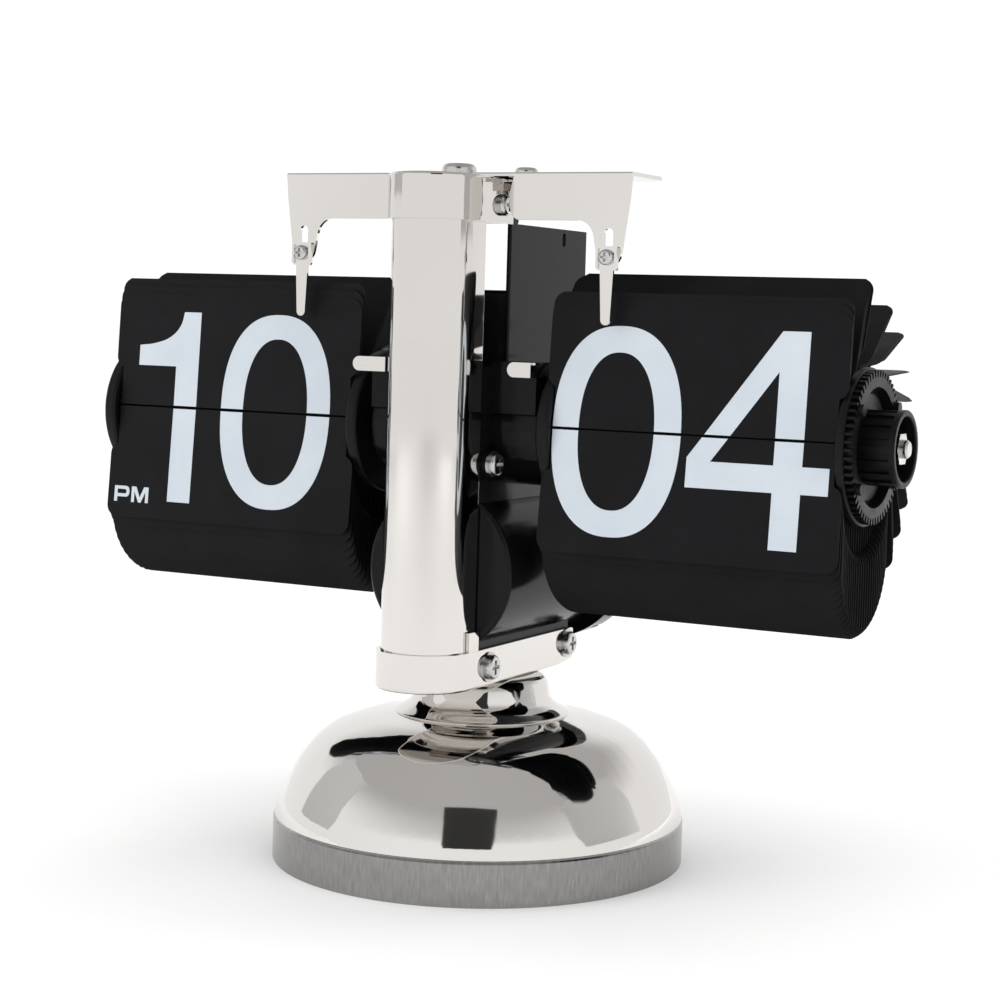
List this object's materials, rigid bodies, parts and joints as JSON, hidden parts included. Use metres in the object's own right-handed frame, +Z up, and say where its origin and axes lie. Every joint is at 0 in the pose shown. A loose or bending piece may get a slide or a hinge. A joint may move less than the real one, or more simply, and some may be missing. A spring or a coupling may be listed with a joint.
{
  "type": "desk flip clock",
  "caption": "Desk flip clock: two drums of hinged number leaves on one axle, held by a chromed column on a heavy domed foot, with arms that retain the leaves and a battery barrel behind.",
  "frame": {"origin": "centre of the round foot's underside, on the table", "axes": "+X toward the minute drum and its setting knob, -Y is the front that shows the numbers, +Z up"},
  "size_m": [0.2063, 0.098, 0.1641],
  "materials": {
    "chrome": "mirror-polished chrome plating",
    "screw_steel": "nickel-plated steel",
    "gloss_black": "glossy moulded plastic",
    "matte_black": "satin moulded plastic",
    "leaf_black": "matte card with printed numbers",
    "gear_plastic": "natural moulded plastic",
    "foot_rubber": "flat pad",
    "weight_iron": "as cast",
    "plate_steel": "zinc-plated sheet",
    "contact_metal": "plated spring sheet",
    "cell_metal": "plain printed sleeve"
  },
  "bodies": {
    "clock_frame": {"arm_brace": "chrome", "arm_bridge": "chrome", "arm_screw": "screw_steel", "axle": "screw_steel", "axle_nuts": "screw_steel", "base_dome": "chrome", "base_pad": "foot_rubber", "base_plate": "plate_steel", "base_weight": "weight_iron", "battery_barrel": "gloss_black", "battery_contact": "contact_metal", "bottom_cap": "chrome", "cap_screws": "screw_steel", "cap_washers": "screw_steel", "column": "chrome", "ear_screws": "screw_steel", "hour_gear_cover": "gloss_black", "hour_leaf_front": "leaf_black", "hour_leaf_guide": "chrome", "hour_leaves_lower": "leaf_black", "hour_leaves_rear": "leaf_black", "hour_leaves_upper": "leaf_black", "housing_left": "gloss_black", "housing_right": "gloss_black", "ledge_screws": "screw_steel", "ledge_washers": "screw_steel", "minute_gear_cover": "gloss_black", "minute_leaf_front": "leaf_black", "minute_leaf_guide": "chrome", "minute_leaves_lower": "leaf_black", "minute_leaves_rear": "leaf_black", "minute_leaves_upper": "leaf_black", "motor": "plate_steel", "neck_bolt": "screw_steel", "neck_nut": "screw_steel", "top_block": "gloss_black", "top_cap": "chrome", "top_screw": "screw_steel"},
    "minute_drum": {"minute_inner_disc": "matte_black", "minute_outer_disc": "matte_black", "minute_core": "matte_black", "minute_ring_gear": "matte_black", "minute_knob": "matte_black", "minute_drive_wheel": "gear_plastic"},
    "hour_drum": {"hour_inner_disc": "matte_black", "hour_outer_disc": "matte_black", "hour_core": "matte_black", "hour_index_wheel": "gear_plastic"},
    "motor_shaft": {"motor_pinion": "gear_plastic"},
    "minute_leaf": {"minute_leaf_top": "leaf_black"},
    "hour_leaf": {"hour_leaf_top": "leaf_black"},
    "minute_retainer": {"minute_finger": "chrome", "minute_finger_screw": "screw_steel"},
    "hour_retainer": {"hour_finger": "chrome", "hour_finger_screw": "screw_steel"},
    "battery": {"battery_cell": "cell_metal"},
    "battery_lid": {"battery_cap": "gloss_black", "cap_contact": "contact_metal"}
  },
  "joints": [
    {"name": "minute_drum_spin", "type": "hinge", "parent": "clock_frame", "child": "minute_drum", "pos_m": [0.0611, -0.005, 0.1032], "axis": [1, 0, 0], "continuous": true},
    {"name": "hour_drum_spin", "type": "hinge", "parent": "clock_frame", "child": "hour_drum", "pos_m": [-0.0611, -0.005, 0.1032], "axis": [1, 0, 0], "continuous": true},
    {"name": "motor_spin", "type": "hinge", "parent": "clock_frame", "child": "motor_shaft", "pos_m": [0, 0.00914, 0.1071], "axis": [1, 0, 0], "continuous": true},
    {"name": "minute_leaf_flip", "type": "hinge", "parent": "clock_frame", "child": "minute_leaf", "pos_m": [0.0611, -0.01985, 0.10529], "axis": [1, 0, 0], "range_deg": [0, 168], "deforming": ["minute_finger"]},
    {"name": "hour_leaf_flip", "type": "hinge", "parent": "clock_frame", "child": "hour_leaf", "pos_m": [-0.0611, -0.01985, 0.10529], "axis": [1, 0, 0], "range_deg": [0, 168], "deforming": ["hour_finger"]},
    {"name": "minute_finger_adjust", "type": "slide", "parent": "clock_frame", "child": "minute_retainer", "axis": [0, 0, 1], "range_m": [-0.0006, 0.003]},
    {"name": "hour_finger_adjust", "type": "slide", "parent": "clock_frame", "child": "hour_retainer", "axis": [0, 0, 1], "range_m": [-0.0006, 0.003]},
    {"name": "battery_slide", "type": "slide", "parent": "clock_frame", "child": "battery", "axis": [0, 1, 0], "range_m": [0, 0.063]},
    {"name": "battery_lid_slide", "type": "slide", "parent": "clock_frame", "child": "battery_lid", "axis": [0, 1, 0], "range_m": [0, 0.0701]}
  ],
  "couplings": [
    {"joint": "hour_drum_spin", "follows": "minute_drum_spin", "ratio": 0.041667},
    {"joint": "motor_spin", "follows": "minute_drum_spin", "ratio": -3},
    {"joint": "battery_lid_slide", "follows": "battery_slide", "ratio": 1.11}
  ]
}
